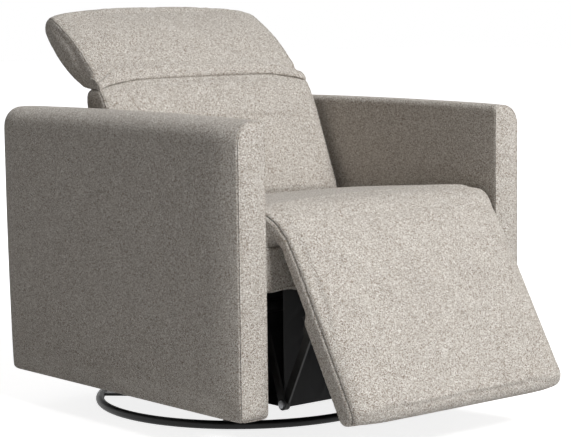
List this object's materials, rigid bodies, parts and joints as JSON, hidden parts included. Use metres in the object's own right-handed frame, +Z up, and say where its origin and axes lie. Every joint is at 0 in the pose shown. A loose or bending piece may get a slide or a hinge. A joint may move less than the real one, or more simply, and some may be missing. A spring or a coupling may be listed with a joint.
{
  "type": "swivel glider recliner",
  "caption": "Upholstered power recliner armchair with track arms that swivels and glides on a round floor ring; back, head rest and leg rest move.",
  "frame": {"origin": "swivel axis at the floor, in the plane of the ring's flat underside", "axes": "+Z up, the sitter faces -Y, +X on the sitter's left"},
  "size_m": [0.76, 1.0224, 0.8465],
  "materials": {
    "fabric": "heathered chenille tweed, light warm greige with beige and brown flecks",
    "black_steel": "black powder coat, satin",
    "zinc_steel": "zinc plated",
    "ball_steel": "polished",
    "cage_brass": "stamped, matt",
    "nylon": "natural nylon",
    "timber": "sawn softwood and plywood",
    "felt": "needled felt",
    "webbing": "woven elastic webbing",
    "black_cloth": "black non-woven lining",
    "black_plastic": "moulded, fine texture",
    "button_plastic": "moulded, satin"
  },
  "bodies": {
    "base": {"base_ring": "black_steel", "base_spokes": "black_steel", "hub_plate": "black_steel", "hub_fasteners": "zinc_steel", "lower_race": "zinc_steel", "king_pin": "zinc_steel"},
    "ball_cage": {"ball_cage": "cage_brass", "bearing_balls": "ball_steel"},
    "swivel": {"upper_race": "zinc_steel", "swivel_plate": "black_steel", "swivel_beams": "black_steel", "swivel_side_rails": "black_steel", "glide_posts": "black_steel", "upper_pivot_bolts": "zinc_steel"},
    "front_links": {"front_links": "black_steel", "front_bushes": "nylon"},
    "rear_links": {"rear_links": "black_steel", "rear_bushes": "nylon"},
    "carriage": {"lower_pivot_bolts": "zinc_steel", "glide_rails": "black_steel", "bottom_cross_rails": "timber", "seat_rails": "timber", "seat_springs": "zinc_steel", "seat_deck": "felt", "seat_cushion": "fabric", "seat_apron": "fabric", "lining_cloths": "black_cloth", "right_arm_cover": "fabric", "left_arm_cover": "fabric", "arm_frames": "timber", "arm_bolts": "zinc_steel", "rear_panel": "fabric", "mechanism_plates": "black_steel", "legrest_ears": "black_steel", "legrest_gearmotor": "black_plastic", "recline_gearmotor": "black_plastic", "control_box": "black_plastic", "power_inlet": "black_plastic", "button_panel": "black_plastic"},
    "legrest_drive": {"torque_tube": "black_steel", "drive_links": "black_steel", "drive_pins": "zinc_steel"},
    "couplers": {"couplers": "black_steel"},
    "legrest": {"legrest_pad": "fabric", "legrest_board": "fabric", "legrest_straps": "black_steel", "legrest_brackets": "black_steel"},
    "backrest": {"recline_shaft": "black_steel", "back_brackets": "black_steel", "back_stiles": "timber", "back_rails": "timber", "back_webbing": "webbing", "back_pad": "fabric", "back_shell": "fabric", "headrest_lower_arms": "black_steel"},
    "headrest": {"headrest_arms": "black_steel", "headrest_board": "timber", "headrest_pad": "fabric"},
    "recline_button": {"recline_button": "button_plastic"},
    "return_button": {"return_button": "button_plastic"}
  },
  "joints": [
    {"name": "swivel", "type": "hinge", "parent": "base", "child": "swivel", "pos_m": [0, 0, 0], "axis": [0, 0, 1], "continuous": true},
    {"name": "ball_cage_turn", "type": "hinge", "parent": "base", "child": "ball_cage", "pos_m": [0, 0, 0], "axis": [0, 0, 1], "continuous": true},
    {"name": "glide", "type": "hinge", "parent": "swivel", "child": "front_links", "pos_m": [0, -0.12, 0.2], "axis": [1, 0, 0], "range_deg": [-24, 24]},
    {"name": "glide_rear", "type": "hinge", "parent": "swivel", "child": "rear_links", "pos_m": [0, 0.12, 0.2], "axis": [1, 0, 0], "range_deg": [-24, 24]},
    {"name": "glide_level", "type": "hinge", "parent": "front_links", "child": "carriage", "pos_m": [0, -0.12, 0.1], "axis": [1, 0, 0], "range_deg": [-24, 24]},
    {"name": "legrest", "type": "hinge", "parent": "carriage", "child": "legrest", "pos_m": [0, -0.455, 0.425], "axis": [-1, 0, 0], "range_deg": [-29, 58]},
    {"name": "legrest_drive_turn", "type": "hinge", "parent": "carriage", "child": "legrest_drive", "pos_m": [0, -0.378, 0.272], "axis": [-1, 0, 0], "range_deg": [-29, 58]},
    {"name": "coupler_turn", "type": "hinge", "parent": "legrest", "child": "couplers", "pos_m": [0, -0.51755, 0.24201], "axis": [-1, 0, 0], "range_deg": [-58, 29]},
    {"name": "recline", "type": "hinge", "parent": "carriage", "child": "backrest", "pos_m": [0, 0.03, 0.375], "axis": [-1, 0, 0], "range_deg": [-11, 28]},
    {"name": "headrest", "type": "hinge", "parent": "backrest", "child": "headrest", "pos_m": [0, 0.15996, 0.69783], "axis": [1, 0, 0], "range_deg": [0, 45]},
    {"name": "recline_press", "type": "slide", "parent": "carriage", "child": "recline_button", "axis": [-1, 0, 0], "range_m": [0, 0.0015], "stiffness_N_per_m": 500},
    {"name": "return_press", "type": "slide", "parent": "carriage", "child": "return_button", "axis": [-1, 0, 0], "range_m": [0, 0.0015], "stiffness_N_per_m": 500}
  ],
  "couplings": [
    {"joint": "ball_cage_turn", "follows": "swivel", "ratio": 0.5},
    {"joint": "glide_rear", "follows": "glide", "ratio": 1},
    {"joint": "glide_level", "follows": "glide", "ratio": -1},
    {"joint": "legrest_drive_turn", "follows": "legrest", "ratio": 1},
    {"joint": "coupler_turn", "follows": "legrest", "ratio": -1}
  ]
}
